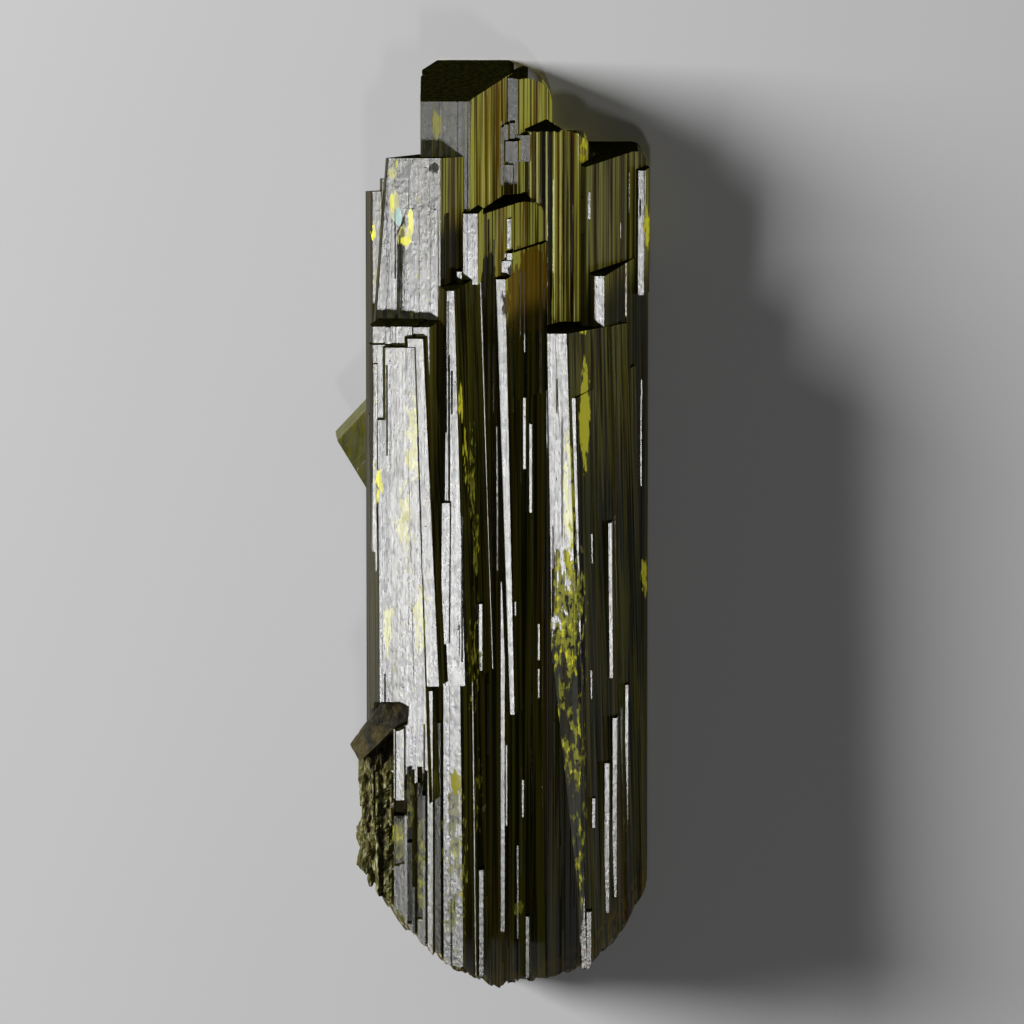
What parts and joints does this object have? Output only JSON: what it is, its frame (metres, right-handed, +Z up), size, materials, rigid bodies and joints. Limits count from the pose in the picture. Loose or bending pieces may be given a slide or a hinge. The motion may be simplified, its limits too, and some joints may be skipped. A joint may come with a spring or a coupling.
{
  "type": "epidote crystal cluster",
  "caption": "Bundle of intergrown, striated epidote prisms with stepped flat ends, a broken foot and a chipped corner, lying on its back.",
  "frame": {"origin": "middle of the bounding box's underside, on the surface that the cluster lies on", "axes": "+X across the bundle, to the right of someone who looks down on it with the crystal ends away from them; +Y along the prisms from the broken foot to the crystal ends; +Z up from the resting face to the broad glassy faces"},
  "size_m": [0.0202, 0.0622, 0.0131],
  "materials": {
    "epidote": "vitreous, glossy"
  },
  "bodies": {
    "root": {"epidote_cluster": "epidote"}
  },
  "joints": []
}
